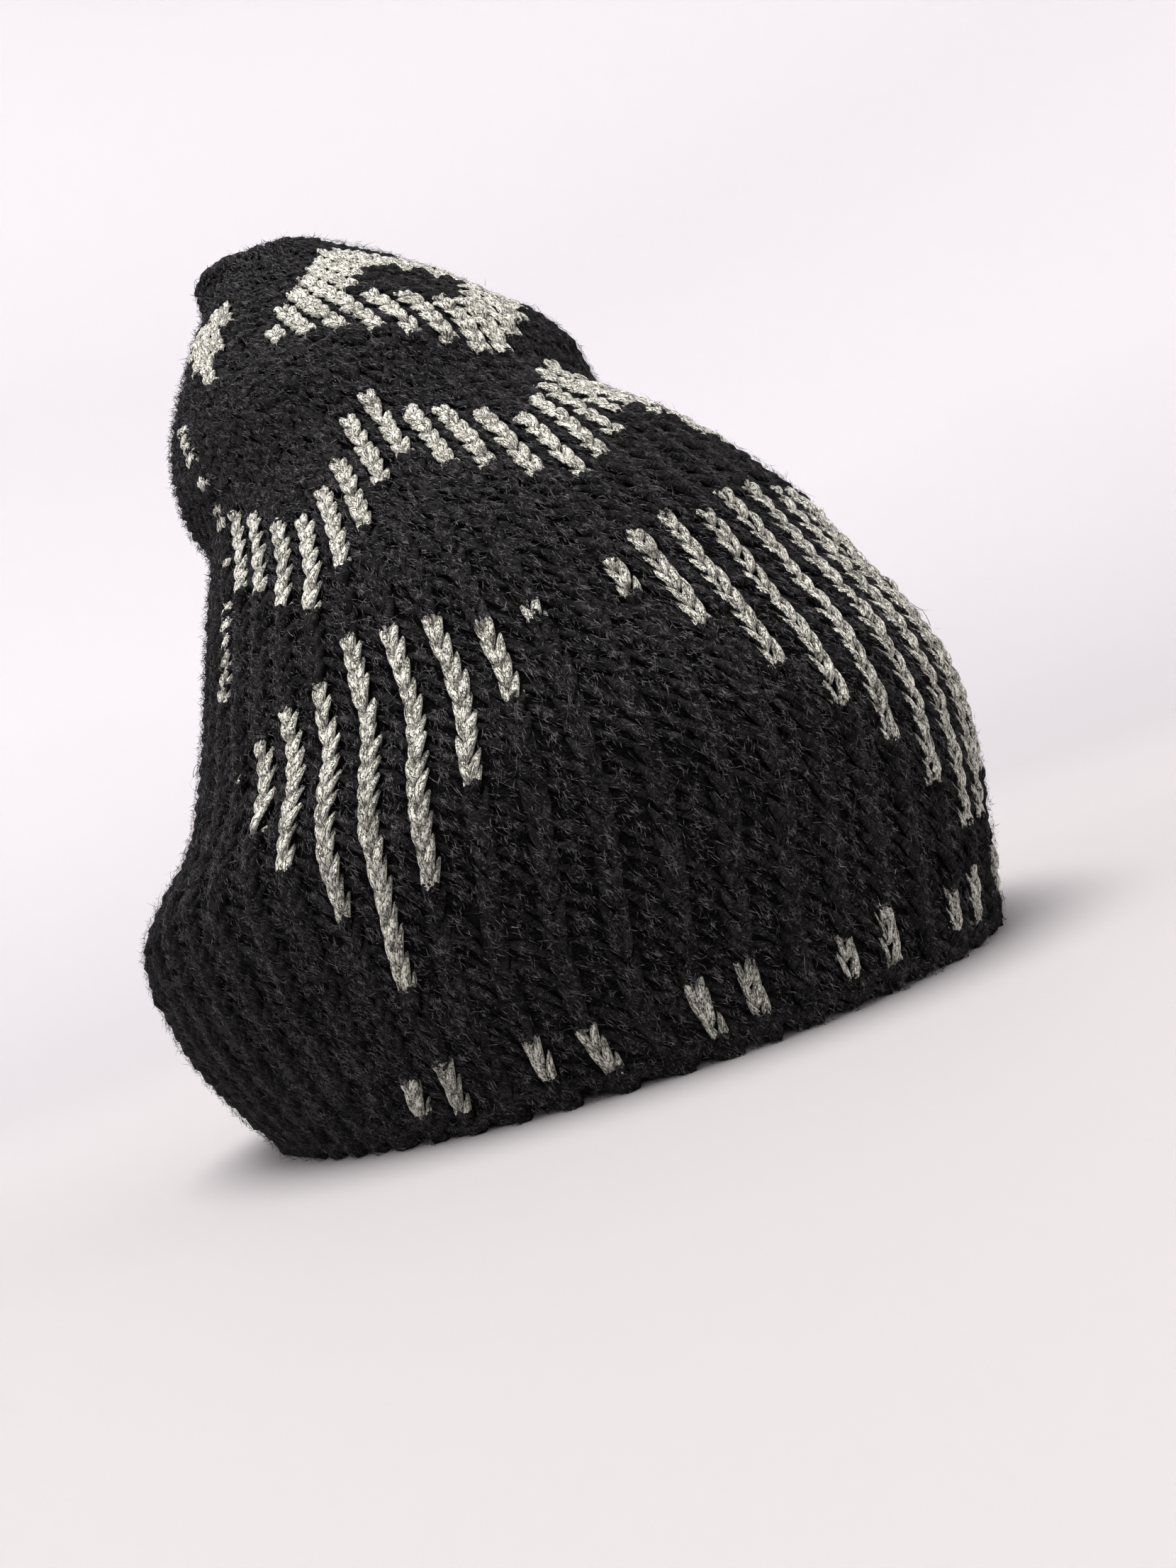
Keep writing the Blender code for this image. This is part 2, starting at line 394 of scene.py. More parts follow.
def join(parts):
    """Joins results of tubes."""
    verts, faces, uvs = zip(*parts)
    bases = np.cumsum([0] + [len(part) for part in verts])
    faces = [f + base for part, base in zip(faces, bases) for f in part]
    return np.concatenate(verts), faces, np.concatenate(uvs)


# Materials


class Material:
    """A procedural material. Its methods add a node each and return the node's output."""

    def __init__(self, name):
        self.data = bpy.data.materials.new(name)
        self.data.use_nodes = True
        self.nodes, self.links = self.data.node_tree.nodes, self.data.node_tree.links
        self.shader = self.nodes["Principled BSDF"]
        self.place = self.nodes.new("ShaderNodeTexCoord").outputs["Object"]

    def feed(self, node, inputs):
        """Sets inputs to numbers, vectors or colours, or links them to other nodes' outputs."""
        for name, value in inputs.items():
            socket = node.inputs[name]
            if isinstance(value, bpy.types.NodeSocket):
                self.links.new(value, socket)
            elif isinstance(value, tuple) and len(value) < len(socket.default_value):
                socket.default_value = (*value, 1.0)
            else:
                socket.default_value = value

    def node(self, kind, output, inputs, **settings):
        node = self.nodes.new("ShaderNode" + kind)
        for name, value in settings.items():
            setattr(node, name, value)
        self.feed(node, inputs)
        return node.outputs[output]

    def noise(self, scale, detail, roughness, vector=None):
        inputs = {"Scale": scale, "Detail": detail, "Roughness": roughness}
        return self.node("TexNoise", "Fac", {**inputs, "Vector": vector or self.place})

    def ramp(self, source, stops):
        """Colour ramp from (position, colour) stops."""
        node = self.nodes.new("ShaderNodeValToRGB")
        elements = node.color_ramp.elements
        while len(elements) > 1:
            elements.remove(elements[-1])
        elements[0].position, elements[0].color = stops[0][0], (*stops[0][1], 1.0)
        for position, colour in stops[1:]:
            elements.new(position).color = (*colour, 1.0)
        self.links.new(source, node.inputs["Fac"])
        return node.outputs["Color"]

    def spread(self, source, low, high):
        """Maps 0..1 to low..high."""
        return self.node("MapRange", "Result", {"To Min": low, "To Max": high, "Value": source})

    def math(self, operation, first, second=0.0):
        return self.node("Math", "Value", {0: first, 1: second}, operation=operation)

    def minus(self, first, second):
        return self.math("SUBTRACT", first, second)

    def times(self, first, second):
        return self.math("MULTIPLY", first, second)

    def weighed(self, sources, weights):
        """Sum of sources times their weights."""
        total = 0.0
        for source, weight in zip(sources, weights):
            total = self.math("ADD", total, self.times(source, weight))
        return total

    def mix(self, factor, first, second, kind="RGBA"):
        low, high, result = {"RGBA": (6, 7, 2), "FLOAT": (2, 3, 0)}[kind]
        return self.node("Mix", result, {0: factor, low: first, high: second}, data_type=kind)

    def bump(self, height, strength, distance):
        inputs = {"Strength": strength, "Distance": distance, "Height": height}
        return self.node("Bump", "Normal", inputs)

    def uv(self, name):
        return self.node("UVMap", "UV", {}, uv_map=name)

    def stretched(self, vector, turn, scale, location=(0.0, 0.0, 0.0)):
        inputs = {"Rotation": (0.0, 0.0, turn), "Scale": scale, "Location": location}
        return self.node("Mapping", "Vector", {**inputs, "Vector": vector})

    def split(self, vector):
        node = self.nodes.new("ShaderNodeSeparateXYZ")
        self.links.new(vector, node.inputs["Vector"])
        return [node.outputs[axis] for axis in "XYZ"]

    def line_distance(self, vector, scale, width):
        """0 along wandering lines, growing to 1 at a width from them."""
        wandering = self.noise(scale, detail=2.0, roughness=0.6, vector=vector)
        away = self.math("ABSOLUTE", self.minus(wandering, 0.5))
        return self.times(away, 1.0 / width)


# Noises: scale, detail and roughness
STREAK_NOISE, FLOOR_CLOUDS = (1.0, 3.0, 0.7), (3.0, 3.0, 0.5)
YARN_GRAIN, YARN_CLOUDS = (1500.0, 4.0, 0.75), (160.0, 4.0, 0.7)
FUZZ_PATCHES, FUZZ_GRAIN = (650.0, 4.0, 0.75), (4000.0, 2.0, 0.5)
FOIL_EDGE, FOIL_CRINKLE, FOIL_BROAD = (620.0, 4.0, 0.6), (1700.0, 4.0, 0.65), (110.0, 3.0, 0.5)
# Streaks of fibres that wind along the yarn: their scale along and round it, and their turn
STREAKS = (((4.0, 40.0, 1.0), 0.25), ((5.0, 28.0, 1.0), -0.45))
# Fibres of the mat: turn from level in radians, length and width of their noise in metres
MAT_LAYERS = ((0.75, 0.0045, 0.0010), (1.15, 0.0035, 0.0008), (0.30, 0.0040, 0.0009))
MAT_LINE = 0.085
# Where the noise of each layer of the mat starts, as multiples of its turn and length
MAT_START = (7.0, 900.0)
UNROLL_RADIUS = 0.095
UNROLL_CLIMB = 0.8
YARN_TONES = (
    (0.38, (0.0013, 0.0012, 0.0014)),
    (0.48, (0.0048, 0.0045, 0.0050)),
    (0.57, (0.0180, 0.0171, 0.0176)),
    (0.70, (0.0880, 0.0840, 0.0860)),
)
FOIL_TONES = (
    (0.06, (0.045, 0.043, 0.035)),
    (0.22, (0.27, 0.262, 0.222)),
    (0.45, (0.58, 0.57, 0.50)),
    (0.58, (0.74, 0.73, 0.655)),
)
# The fuzz's pale end is partly the fibres' own grey and partly painted sheen of black wool fibres
FUZZ_DARK, FUZZ_PALE_AND_SHEEN = (0.0020, 0.0019, 0.0022), (0.115, 0.110, 0.113)
LINT_DARK, LINT_PALE = (0.20, 0.19, 0.18), (0.55, 0.53, 0.50)
YARN_ROUGHNESS, FUZZ_ROUGHNESS, FOIL_ROUGHNESS = (0.78, 1.0), (0.55, 0.8), (0.30, 0.60)
# Shares of streaks, grain, clouds and matted fibres in the yarn's tone and in its height
TONE_SHARES, HEIGHT_SHARES = (0.35, 0.25, 0.25, 0.15), (0.7, 0.8, 0.0, 0.5)
# Shares of crinkles and patches in the foil's tone, and of crinkles and creases in its relief
CRINKLE_SHARES, RELIEF_SHARES, YARN_RELIEF = (0.75, 0.25), (1.2, 1.2), 1.5
# How ragged the foil's limit round the yarn and its outline are, and its soft edge
STUCK_RAGGED, OUTLINE_SHARES, SOFT_EDGE = 0.9, (2.5, 1.6), 0.06


def unrolled(material):
    """Coordinates round the hat and up its wall, in metres."""
    x, y, z = material.split(material.place)
    radius = material.math("SQRT", material.weighed((x, y), (x, y)))
    round_hat = material.times(material.math("ARCTAN2", x, y), UNROLL_RADIUS)
    up_wall = material.times(material.minus(z, radius), UNROLL_CLIMB)
    return material.node("CombineXYZ", "Vector", {"X": round_hat, "Y": up_wall})


def matted_fibres(material):
    """Thin wandering fibres that lie across neighbouring strands, 1 along them and 0 between."""
    flat = unrolled(material)
    lines = 0.0
    for turn, length, width in MAT_LAYERS:
        start = (turn * MAT_START[0], length * MAT_START[1], 0.0)
        vector = material.stretched(flat, turn, (1 / length, 1 / width, 1.0), start)
        line = material.minus(1.0, material.line_distance(vector, 1.0, MAT_LINE))
        lines = material.math("MAXIMUM", lines, line)
    return lines


def yarn_look(material, painted_shade_scale=1.0):
    """Colour, roughness and height of black woollen yarn; a painted_shade_scale under 1 darkens
    its colour as painted shade.
    """
    streaks = material.math("MAXIMUM", *(
        material.noise(*STREAK_NOISE, material.stretched(material.uv("UVMap"), turn, scale))
        for scale, turn in STREAKS
    ))
    grain = material.noise(*YARN_GRAIN)
    parts = (streaks, grain, material.noise(*YARN_CLOUDS), matted_fibres(material))
    tones = tuple((place, tuple(painted_shade_scale * part for part in grey)) for place, grey in YARN_TONES)
    colour = material.ramp(material.weighed(parts, TONE_SHARES), tones)
    rough = material.spread(grain, *YARN_ROUGHNESS)
    return colour, rough, material.weighed(parts, HEIGHT_SHARES)


def yarn_material(name, painted_shade_scale):
    material = Material(name)
    colour, rough, height = yarn_look(material, painted_shade_scale)
    material.feed(material.shader, {
        "Base Color": colour,
        "Roughness": rough,
        "Normal": material.bump(height, strength=1.0, distance=0.0009),
        "Specular IOR Level": 0.04,
        "Sheen Weight": 0.015,
        "Sheen Roughness": 0.45,
        "Sheen Tint": (0.75, 0.76, 0.82),
    })
    return material.data


def fuzz_material(name, dark, pale):
    material = Material(name)
    patches = material.noise(*FUZZ_PATCHES)
    material.feed(material.shader, {
        "Base Color": material.ramp(patches, ((0.45, dark), (0.67, pale))),
        "Roughness": material.spread(patches, *FUZZ_ROUGHNESS),
        "Normal": material.bump(material.noise(*FUZZ_GRAIN), strength=0.3, distance=0.0001),
        "Specular IOR Level": 0.08,
    })
    return material.data


def foil_cover(material):
    """1 where the foil has stuck and 0 on bare yarn, with a ragged edge between.

    The Print map holds how far a place is inside the print, in rows, and from how far out
    on the yarn, -1 to 1, the foil has stuck."""
    inside, worn, _ = material.split(material.uv("Print"))
    turn_round = material.split(material.uv("UVMap"))[1]
    outer = material.math("SINE", material.times(turn_round, 2 * math.pi))
    ragged = material.spread(material.noise(*FOIL_EDGE), -1.0, 1.0)
    stuck = material.weighed((outer, ragged, worn), (1.0, STUCK_RAGGED, -1.0))
    outline = material.weighed((inside, ragged), OUTLINE_SHARES)
    covered = material.math("MINIMUM", stuck, outline)
    edge = {"From Min": -SOFT_EDGE, "From Max": SOFT_EDGE, "Value": covered}
    return material.node("MapRange", "Result", edge)


def foil_material():
    """Crinkled foil on the outer side of the stitches, with black yarn outside the print. Its
    colour is darkened along crease lines as painted shade.
    """
    material = Material("Silver_Foil_On_Yarn")
    times, mix = material.times, material.mix

    def creases(vector, scale, width, floor):
        line = material.math("MINIMUM", material.line_distance(vector, scale, width), 1.0)
        return material.spread(line, floor, 1.0)

    crinkle, broad = material.noise(*FOIL_CRINKLE), material.noise(*FOIL_BROAD)
    along_yarn = material.stretched(material.uv("UVMap"), turn=0.5, scale=(4.0, 9.0, 1.0))
    # Crease lines darken the foil's colour as painted shade in its creases, and also raise its
    # relief
    crease = times(
        creases(along_yarn, scale=1.0, width=0.055, floor=0.10),
        creases(material.place, scale=800.0, width=0.030, floor=0.45),
    )
    tone = times(material.weighed((crinkle, broad), CRINKLE_SHARES), crease)
    silver = material.ramp(tone, FOIL_TONES)
    cover = foil_cover(material)
    black, yarn_rough, yarn_height = yarn_look(material)
    relief = material.weighed((crinkle, crease), RELIEF_SHARES)
    relief = mix(cover, times(yarn_height, YARN_RELIEF), relief, "FLOAT")
    rough = material.spread(crinkle, *FOIL_ROUGHNESS)
    material.feed(material.shader, {
        "Base Color": mix(cover, black, silver),
        "Metallic": mix(cover, 0.0, 0.75, "FLOAT"),
        "Roughness": mix(cover, yarn_rough, rough, "FLOAT"),
        "Normal": material.bump(relief, strength=1.0, distance=0.0006),
        "Specular IOR Level": 0.04,
    })
    return material.data


YARN = yarn_material("Black_Yarn", 1.0)
# The backing's copy of the yarn is darkened to 0.35 as painted shade in the deep hollows between
# the ribs
PAINTED_SHADE_YARN = yarn_material("Black_Yarn_Painted_Shade", 0.35)
FOIL = foil_material()
FUZZ = fuzz_material("Yarn_Fuzz", FUZZ_DARK, FUZZ_PALE_AND_SHEEN)
LINT = fuzz_material("Pale_Lint", LINT_DARK, LINT_PALE)


# The print: rows that carry foil on each rib of the printed half

PRINT_FIRST_RIB = 12
Motif = namedtuple("Motif", "name first_rib last_rib low_row high_row")
ZIGZAG = Motif("zigzag band", 1, 29, 27, 38)
ZIGZAG_PERIOD, ZIGZAG_SWING, ZIGZAG_LENGTH, ZIGZAG_RAGGED = 8, 6.0, 5.6, 0.4
COMBS = (
    Motif("comb triangle at the back", 1, 9, 8, 24),
    Motif("comb triangle at the front", 10, 25, 4, 25),
)
COMB_TOP_SLOPE = 3.0
LOZENGE = Motif("lozenge on the lobe", 7, 20, 39, 55)
LOZENGE_THICKNESS, LOZENGE_END, LOZENGE_SMALLEST_GAP = 0.60, 0.4, 0.3
TIP = Motif("small triangle near the tip", 1, 5, 47, 54)
DASHES = Motif("dashes at the brim", 3, 24, 1, 4)
DASH_GAP, DASH_RAGGED_LOW, DASH_RAGGED_HIGH = 3, 0.8, 0.9
EDGE = Motif("edge line of the print", 0, 0, 26, 46)
EDGE_SHARE, EDGE_FROM, EDGE_TO = 0.75, 0.2, 0.75
RUN_RAGGED = 0.5
FAR_OUTSIDE = -9.0


def ribs_of(motif):
    return range(motif.first_rib, motif.last_rib + 1)


def nearness(motif, rib, margin=1.0):
    """1 at the middle of a motif's ribs, falling to 0 a margin beyond its outer ones."""
    half = (motif.last_rib - motif.first_rib) / 2
    return 1 - abs(rib - motif.first_rib - half) / (half + margin)


def pointed_end(motif, rib):
    """Lower end of a rib's run in a triangle that points down."""
    return motif.high_row - (motif.high_row - motif.low_row) * nearness(motif, rib)


def print_runs():
    """The printed runs of each rib, as (low row, high row), which may be fractions."""
    local = np.random.default_rng(SEED + 1)
    runs = {rib: [] for rib in range(RIB_COUNT)}

    def run(rib, low, high):
        if high > low:
            runs[PRINT_FIRST_RIB + rib].append((low, high))

    def uneven(amount):
        return local.uniform(-amount, amount)

    for rib in ribs_of(ZIGZAG):
        swing = ZIGZAG_SWING * abs(2 * (rib / ZIGZAG_PERIOD % 1.0) - 1)
        low = ZIGZAG.low_row + swing + uneven(ZIGZAG_RAGGED)
        run(rib, low, low + ZIGZAG_LENGTH + uneven(RUN_RAGGED))
    for comb in COMBS:
        for rib in ribs_of(comb):
            slope = COMB_TOP_SLOPE * (1 - nearness(comb, rib))
            top = comb.high_row - slope + uneven(RUN_RAGGED)
            run(rib, pointed_end(comb, rib) + uneven(RUN_RAGGED), top)
    middle_row = (LOZENGE.high_row + LOZENGE.low_row) / 2
    half_rows = (LOZENGE.high_row - LOZENGE.low_row) / 2
    for rib in ribs_of(LOZENGE):
        outside = half_rows * nearness(LOZENGE, rib, 0.5) + LOZENGE_END
        inside = outside - half_rows * LOZENGE_THICKNESS
        if inside > LOZENGE_SMALLEST_GAP:
            run(rib, middle_row + inside, middle_row + outside)
            run(rib, middle_row - outside, middle_row - inside)
        else:
            run(rib, middle_row - outside, middle_row + outside)
    for rib in ribs_of(TIP):
        run(rib, pointed_end(TIP, rib), TIP.high_row)
    for rib in ribs_of(DASHES):
        if rib % DASH_GAP:
            low = DASHES.low_row + local.uniform(0.0, DASH_RAGGED_LOW)
            run(rib, low, DASHES.high_row - local.uniform(0.0, DASH_RAGGED_HIGH))
    for row in range(EDGE.low_row, EDGE.high_row):
        if local.random() < EDGE_SHARE:
            run(EDGE.first_rib, row + EDGE_FROM, row + EDGE_TO)
    return runs


RUNS = print_runs()


def print_depth(rib, rows):
    """How far places on a rib lie inside its printed runs, in rows, negative outside them."""
    depth = np.full(rows.shape, FAR_OUTSIDE)
    for k in range(RIB_COUNT):
        here = rib == k
        for low, high in RUNS[k]:
            inside = np.minimum(rows[here] - low, high - rows[here])
            depth[here] = np.maximum(depth[here], inside)
    return depth


# Stitches

CELL_RIB, CELL_ROW = np.divmod(np.arange(RIB_COUNT * ROW_COUNT), ROW_COUNT)
PHASE_SPREAD = 0.16
WALE_PHASE = np.random.default_rng(SEED).uniform(-PHASE_SPREAD, PHASE_SPREAD, RIB_COUNT)

# Feet and heads are the sideways places of a leg's lower and upper end, in millimetres
Leg = namedtuple("Leg", "foot head half_width sink")
# Legs of printed stitches where the knit is open, tight and packed
RIGHT_LEGS = Leg(-1.05, 1.85, 1.05, 0.0), Leg(-0.15, 1.95, 1.14, 0.0), Leg(0.80, 2.50, 1.75, 0.0)
LEFT_LEGS = (
    Leg(-1.35, -2.30, 0.68, 0.55), Leg(-0.25, -1.95, 1.14, 0.10), Leg(-0.80, -2.50, 1.75, 0.05)
)
# The bare stitches are fuller, and their left legs lie on top
RIGHT_BARE, LEFT_BARE = Leg(0.30, 2.30, 1.30, 0.45), Leg(0.90, -2.75, 1.45, 0.20)
RIGHT_SEED, LEFT_SEED = 31, 32
LEG_START, LEG_ROWS = -0.25, 1.60
LEG_HALF_HEIGHT = 1.15 * MM
# Shares of a leg's height that stay where it is squeezed and where it is narrow
SQUEEZED_HEIGHT, NARROW_HEIGHT = 0.5, 0.4
# A leg's shape: places along it, widths there as shares and lifts in millimetres
LEG_PLACES = (0.0, 0.16, 0.42, 0.72, 1.0)
LEG_WIDTHS, LEG_LIFTS = (0.55, 0.95, 1.0, 0.78, 0.28), (-0.25, 0.45, 0.60, 0.05, -0.90)
# How uneven the legs are: start in rows, size as a share, place, slant and lift in millimetres
LEG_UNEVEN = (0.07, 0.08, 0.14, 0.22, 0.18)
SQUEEZE_LIMIT = 0.2
BARE_SIDES, BARE_POINTS = 5, 4
FOIL_SIDES, FOIL_POINTS = 7, 6
# From how far out on the yarn the foil has stuck, on upper and on sunken legs, and less at ends
WORN_EDGE, WORN_EDGE_SUNK, WORN_ENDS = 0.04, 0.45, 0.65
PRINT_TOUCH = 0.05


def blend_by(share, open_value, tight_value):
    return open_value * share + tight_value * (1 - share)


def offsets(local, amounts, count):
    """Random offsets for a count of pieces, one column for each amount."""
    jitter = local.normal(size=(len(amounts), count, 1))
    return [amount * one for amount, one in zip(amounts, jitter)]


def squeeze_at(rib, row):
    """How much strands narrow where the ribs are packed: 1 where they have room."""
    return np.clip(local_pitch(rib, row) / CHAIN_WIDTH, SQUEEZE_LIMIT, 1.0)


def leg_at(legs, rib, rows):
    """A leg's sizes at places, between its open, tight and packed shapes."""
    share = lean_share(rib, rows)
    gap = TIGHT_PITCH - local_pitch(rib, rows)
    packed = smooth_step(gap / (TIGHT_PITCH - PACKED_PITCH))
    return Leg(*(
        blend_by(share, wide, blend_by(packed, close, tight)) for wide, tight, close in zip(*legs)
    ))


def leg_lines(legs, points, seed):
    """Centre lines of one leg of every stitch's V, with normals, widths, heights and rows."""
    local = np.random.default_rng(seed)
    start_off, size_off, place_off, slant_off, lift_off = offsets(local, LEG_UNEVEN, len(CELL_RIB))
    s = np.linspace(0.0, 1.0, points)[None, :]
    rib = CELL_RIB[:, None]
    rows = (CELL_ROW + WALE_PHASE[CELL_RIB])[:, None] + start_off + LEG_START + LEG_ROWS * s
    rows = rows + waves(rib / RIB_COUNT, rows, *ROW_WAVES)
    leg = leg_at(legs, rib, rows)
    squeeze = squeeze_at(rib, rows)
    across = leg.foot + (leg.head - leg.foot) * s
    across = (across + place_off + slant_off * (s - 0.5)) * MM
    turn = rib_turn(rib, rows) + across * squeeze / wall.girth(rows)
    lift = np.interp(s, LEG_PLACES, LEG_LIFTS)
    out = -CHAIN_SEAT + (lift - leg.sink + lift_off) * MM
    shape = np.interp(s, LEG_PLACES, LEG_WIDTHS)
    swell = 1.0 + size_off
    width = leg.half_width * MM * squeeze * swell * shape
    height = LEG_HALF_HEIGHT * blend_by(squeeze, 1.0, SQUEEZED_HEIGHT) * swell
    height = height * blend_by(shape, 1.0, NARROW_HEIGHT)
    centre, normal = wall.at(turn, rows, out)
    return centre, normal, width, height, rows


def build_legs():
    """Legs of all stitches; those that the print touches are finer and carry foil."""
    pieces, foil_parts, foil_prints = [], [], []
    for legs, bare, name, seed, worn in (
        (RIGHT_LEGS, RIGHT_BARE, "Wales_Right_Legs", RIGHT_SEED, WORN_EDGE),
        (LEFT_LEGS, LEFT_BARE, "Wales_Left_Legs", LEFT_SEED, WORN_EDGE_SUNK),
    ):
        *fine, rows = leg_lines(legs, FOIL_POINTS, seed)
        depth = print_depth(CELL_RIB, rows)
        printed = depth.max(1) > PRINT_TOUCH
        *plain, _ = leg_lines((bare, bare, bare), BARE_POINTS, seed)
        shape = tubes(*(a[~printed] for a in plain), BARE_SIDES)
        pieces.append(make_piece(name, shape, YARN))
        foil_parts.append(tubes(*(a[printed] for a in fine), FOIL_SIDES))
        share = lean_share(CELL_RIB[printed, None], rows[printed])
        ends = np.abs(np.linspace(-1.0, 1.0, FOIL_POINTS)) ** 3
        limit = blend_by(share, worn, WORN_EDGE) + WORN_ENDS * ends
        ring = np.stack([depth[printed], limit], -1)
        rings = np.repeat(ring, FOIL_SIDES, axis=1)
        foil_prints.append(np.concatenate([rings, ring[:, :1], ring[:, -1:]], 1).reshape(-1, 2))
    prints = np.concatenate(foil_prints)
    pieces.append(make_piece("Foil_Print", join(foil_parts), FOIL, "silver_foil", Print=prints))
    return pieces


# The bars run from the right edge of one chain, above its row, down to the left edge of the next
BAR_SEED, BAR_SIDES = 41, 4
BAR_POINTS = (0.0, 0.45, 1.0)
BAR_ROW, BAR_FALL, BAR_ARCH = 1.15, 1.40, 0.12
BAR_FROM, BAR_TO = 2.0 * MM, 1.9 * MM
BAR_DEPTH, BAR_DIP, BAR_HALF_WIDTH = 0.60 * MM, 0.75 * MM, 1.30 * MM
BAR_TIGHT_DIP, BAR_TAPER, BAR_FLATNESS = 0.25, 0.5, 0.8
# How uneven the bars are: row and fall in rows, depth, and width as a share
BAR_UNEVEN = (0.20, 0.25, 0.30 * MM, 0.16)


def build_purl_bars():
    """Sunken bars across the valleys between the ribs, one for each row."""
    local = np.random.default_rng(BAR_SEED)
    row_off, fall_off, depth_off, width_off = offsets(local, BAR_UNEVEN, len(CELL_RIB))
    rib = CELL_RIB[:, None]
    s = np.array(BAR_POINTS)[None, :]
    middle = np.sin(s * math.pi)
    rows = CELL_ROW[:, None] + BAR_ROW + row_off - (BAR_FALL + fall_off) * s
    share = openness(rib + 0.5, rows)
    left = rib_turn(rib, rows) + BAR_FROM / wall.girth(rows)
    right = rib_turn(rib + 1, rows) - BAR_TO / wall.girth(rows)
    turn = left + (right - left) * s
    rows = rows + BAR_ARCH * middle
    dip = middle * blend_by(share, 1.0, BAR_TIGHT_DIP)
    out = -CHAIN_SEAT - BAR_DEPTH - BAR_DIP * dip + depth_off * middle
    centre, normal = wall.at(turn, rows, out)
    width = BAR_HALF_WIDTH * (1 + width_off) * squeeze_at(rib + 0.5, rows)
    width = width * (1 - BAR_TAPER * (2 * s - 1) ** 2)
    shape = tubes(centre, normal, width, width * BAR_FLATNESS, BAR_SIDES)
    return make_piece("Purl_Bars", shape, YARN)


# Backing shell

OUTER_AROUND, OUTER_UP = RIB_COUNT * 4, 84
INNER_AROUND, INNER_UP = RIB_COUNT, 44
SHELL_LOW_ROW, INNER_TOP_ROW, THICKER_FROM_ROW = 0.35, ROW_COUNT - 5, 50
SHELL_CREST_DEPTH = CHAIN_SEAT + 1.3 * MM
INNER_RIB_DEPTH = 0.5 * MM
CROWN_DIMPLE = 2.5 * MM


def build_backing():
    """Closed shell under the stitches: the back of the knit with its rib hollows, in yarn darkened
    as painted shade.
    """
    def grid(around, up, high_row, depth):
        rows = np.linspace(SHELL_LOW_ROW, high_row, up)
        rows, turn = np.meshgrid(rows, np.arange(around) / around, indexing="ij")
        return wall.at(turn, rows, -depth(turn, rows))[0]

    def outer_depth(turn, rows):
        rib = np.floor(turn * RIB_COUNT)
        phase = (turn - rib_turn(rib, rows)) * RIB_COUNT
        hollow = smooth_step(np.abs(phase) * 2)
        return SHELL_CREST_DEPTH + (VALLEY_DEPTH - SHELL_CREST_DEPTH) * hollow

    def inner_depth(turn, rows):
        high = smooth_step((rows - THICKER_FROM_ROW) / (ROW_COUNT - THICKER_FROM_ROW))
        plain = WALL_THICKNESS + (CROWN_THICKNESS - WALL_THICKNESS) * high
        return plain + INNER_RIB_DEPTH * np.cos(turn * RIB_COUNT * 2 * math.pi)

    outer = grid(OUTER_AROUND, OUTER_UP, ROW_COUNT, outer_depth)
    inner = grid(INNER_AROUND, INNER_UP, INNER_TOP_ROW, inner_depth)
    base = outer[..., 0].size
    tip, under = base + inner[..., 0].size + np.arange(2)
    apexes = [outer[-1].mean(0) - np.array([0, 0, CROWN_DIMPLE]), inner[-1].mean(0)]
    verts = np.concatenate([outer.reshape(-1, 3), inner.reshape(-1, 3), apexes])
    top_outer = base - OUTER_AROUND + np.arange(OUTER_AROUND)
    top_inner = tip - INNER_AROUND + np.arange(INNER_AROUND)
    faces = [
        ring_walls(0, OUTER_AROUND, OUTER_UP)[:, ::-1],
        ring_walls(base, INNER_AROUND, INNER_UP),
        fan(tip, top_outer[::-1]),
        fan(under, top_inner),
    ]
    # Rim: every inner edge meets several outer edges
    ratio = OUTER_AROUND // INNER_AROUND
    i, j = np.arange(OUTER_AROUND), np.arange(INNER_AROUND)
    following = np.roll(j, -1)
    faces.append(np.stack([base + i // ratio, i, np.roll(i, -1)], -1))
    faces.append(np.stack([base + j, following * ratio, base + following], -1))
    shape = verts, faces, verts[:, [0, 2]] * UV_SCALE
    return make_piece("Knit_Backing", shape, PAINTED_SHADE_YARN)


# Brim edge

BRIM_SEED, BRIM_SIDES, BRIM_POINTS = 51, 8, 7
# Shift, reach and sway in ribs; row, climb, slant and their limits in rows; out, bow and thick
# in millimetres. Uneven is how much row, out and thick vary.
Loop = namedtuple(
    "Loop", "name shift reach sway row climb slant out bow thick taper flatness uneven limits"
)
LOOPS = (
    Loop("under each rib", 0.0, 0.40, 0.03, 0.47, 0.34, 0.10, -1.35, -1.5, 1.80, 0.42, 0.95,
         (0.17, 0.25, 0.24), (-0.221, 0.255)),
    Loop("across each valley", 0.5, 0.36, 0.0, 0.72, 0.0, -0.12, -3.3, 1.3, 1.55, 0.25, 1.0,
         (0.14, 0.20, 0.12), (-1.0, 1.0)),
)


def build_brim_edge():
    """Thick cast-on loops along the brim."""
    local = np.random.default_rng(BRIM_SEED)
    sway = local.normal(size=(RIB_COUNT, 1))
    s = np.linspace(-1.0, 1.0, BRIM_POINTS)[None, :]
    middle = rib_turn(np.arange(RIB_COUNT).astype(float), 0.0)[:, None]
    parts = []
    for loop in LOOPS:
        row_off, out_off, thick_off = offsets(local, loop.uneven, RIB_COUNT)
        turn = middle + (loop.shift + s * loop.reach + loop.sway * sway) / RIB_COUNT
        low = loop.row + np.clip(row_off, *loop.limits) + loop.climb * s**2 + loop.slant * s
        out = (loop.out + out_off + loop.bow * s**2) * MM
        centre, normal = wall.at(turn, low, out)
        thick = (loop.thick + thick_off) * MM * (1 - loop.taper * s**2)
        parts.append(tubes(centre, normal, thick, thick * loop.flatness, BRIM_SIDES))
    return make_piece("Brim_Edge_Loops", join(parts), YARN)


# Crown

